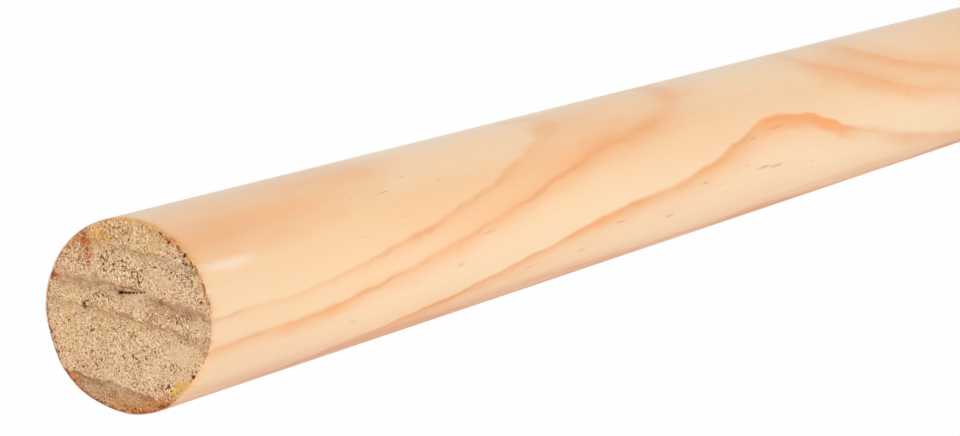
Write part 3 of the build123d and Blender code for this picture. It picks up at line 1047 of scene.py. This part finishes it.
def end_material():
    """Rough-sawn end grain: tan early wood with pits, pale fibres painted paler still on their raised tops
    as a painted highlight, brown late wood, stains, and a check painted dark as shade.
    """
    nodes = Nodes(bpy.data.materials.new("sawn_end_grain"))
    late = nodes.mark("late")
    solid = nodes.most([nodes.times(nodes.mark(name), share) for name, share in SOLID_MARKS.items()])
    rough = nodes.calc("SUBTRACT", 1.0, solid)
    nodes.colour = linear(END_ROSE)
    nodes.lay(nodes.mottle(*END_TINTS), END_STRAW)
    nodes.lay(nodes.times(nodes.mottle(*END_CLOUDS), rough), END_BROWN)
    nodes.lay(nodes.times(late, END_LATE_STRENGTH), END_BROWN)
    nodes.lay(nodes.span(late, *END_YEAR_SPAN), END_YEAR_BROWN)
    nodes.lay(late_cells(nodes, late), END_YEAR_BROWN)
    nodes.lay(nodes.mark("break"), BREAK_PALE)
    lay_stains(nodes)
    nodes.lay(nodes.times(nodes.mark("split"), SPLIT_STRENGTH), SPLIT_BROWN)

    specks = nodes.noise(*SPECKS)
    # pale fibres and specks on raised tops, partly painted highlight
    for amount, tint in (
        (nodes.span(specks, *PALE_SPECK_SPAN), END_PALE_FIBRE_AND_HIGHLIGHT),
        (nodes.mark("cream"), END_PALE_FIBRE_AND_HIGHLIGHT),
        (nodes.span(specks, *DARK_SPECK_SPAN), PIT_BROWN),
        (nodes.span(nodes.mark("pit"), *PIT_SPAN), PIT_BROWN),
    ):
        nodes.lay(nodes.times(amount, rough), tint)
    saw_rate = 2 * math.pi / SAW_PITCH
    saw_across = (-math.sin(SAW_TURN) * saw_rate, math.cos(SAW_TURN) * saw_rate, 0)
    saw_waves = nodes.calc("SINE", nodes.dot(nodes.strayed(*SAW_STRAY), saw_across))
    saw_lines = nodes.times(nodes.span(saw_waves, *SAW_LINE_SPAN), nodes.mark("saw"))
    nodes.lay(saw_lines, SAW_BROWN)
    slit, sliver = check_lines(nodes)
    nodes.lay(nodes.times(sliver, SLIVER_STRENGTH), SPLIT_BROWN)
    # painted shade in the check's slit and head pit
    nodes.lay(nodes.calc("MAXIMUM", slit, nodes.mark("check")), CHECK_SHADE_BROWN)

    roughness = nodes.span(late, *END_ROUGHNESS_SPAN)
    height = nodes.calc("SUBTRACT", specks, nodes.times(saw_lines, SAW_BUMP_SHARE))
    return nodes.finish(roughness, END_SPECULAR, height, END_BUMP)


def add_camera():
    """The photograph's camera: its place, aim, roll and focal length."""
    data = bpy.data.cameras.new("camera")
    data.sensor_width = SENSOR_WIDTH
    data.lens = SENSOR_WIDTH * FOCAL_PIXELS / PHOTO_WIDTH
    data.clip_start = CLIP_START
    camera = bpy.data.objects.new("camera", data)
    forward, up = Vector(CAMERA_FORWARD).normalized(), Vector(CAMERA_UP).normalized()
    place = Vector(CAMERA_PLACE_SHARES) * DIAMETER + Vector((0, 0, LENGTH))
    turn = Matrix((forward.cross(up), up, -forward)).transposed()
    camera.matrix_world = Matrix.Translation(place) @ turn.to_4x4()
    bpy.context.scene.collection.objects.link(camera)
    bpy.context.scene.camera = camera


def white_to_the_eye(nodes, white, share, output):
    """A share of white where the camera or a reflection looks at it, and the lit shader elsewhere."""
    path = nodes.add("ShaderNodeLightPath", {})
    rays = ("Is Camera Ray", "Is Glossy Ray", "Is Transmission Ray")
    seen = nodes.times(nodes.most([path.outputs[ray] for ray in rays]), share)
    mix = nodes.add("ShaderNodeMixShader", {"Fac": seen, 1: nodes.shader.outputs[0], 2: white.outputs[0]})
    nodes.put(nodes.tree.nodes[output].inputs["Surface"], mix.outputs[0])


def add_floor():
    """A plain white floor that keeps the rod's shadow."""
    data = bpy.data.meshes.new("floor")
    corners = [(x * FLOOR_HALF, y * FLOOR_HALF, 0) for x, y in ((-1, -1), (1, -1), (1, 1), (-1, 1))]
    data.from_pydata(corners, [], [(0, 1, 2, 3)])
    nodes = Nodes(bpy.data.materials.new("floor_white"))
    nodes.set("Base Color", (FLOOR_WHITE, FLOOR_WHITE, FLOOR_WHITE, 1))
    nodes.set("Roughness", FLOOR_ROUGHNESS)
    white_to_the_eye(nodes, nodes.add("ShaderNodeEmission", {}), FLOOR_GLOW_SHARE, "Material Output")
    data.materials.append(nodes.holder)
    floor = bpy.data.objects.new("floor", data)
    bpy.context.scene.collection.objects.link(floor)


def add_world():
    """Even light from all sides, white where it is seen."""
    nodes = Nodes(bpy.data.worlds.new("studio"), "Background")
    nodes.set("Color", (1, 1, 1, 1))
    nodes.set("Strength", WORLD_LEVEL)
    white_to_the_eye(nodes, nodes.add("ShaderNodeBackground", {"Color": (1, 1, 1, 1)}), 1.0, "World Output")
    bpy.context.scene.world = nodes.holder


def add_softbox(name, place, size, power):
    """A round soft box aimed at the upper rod."""
    data = bpy.data.lights.new(name, "AREA")
    data.shape = "DISK"
    data.size = size
    data.energy = power
    lamp = bpy.data.objects.new(name, data)
    lamp.location = place
    aim = Vector((0, 0, LENGTH * AIM_SHARE)) - Vector(place)
    lamp.rotation_euler = aim.to_track_quat("-Z", "Y").to_euler()
    bpy.context.scene.collection.objects.link(lamp)


bpy.context.scene.view_settings.view_transform = "Standard"
add_camera()
add_floor()
add_world()
for softbox in SOFTBOXES:
    add_softbox(*softbox)

rod = make_piece(build_rod(), "rod", [wall_material(), end_material()])
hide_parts("dowel_rod")
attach(rod, "root")
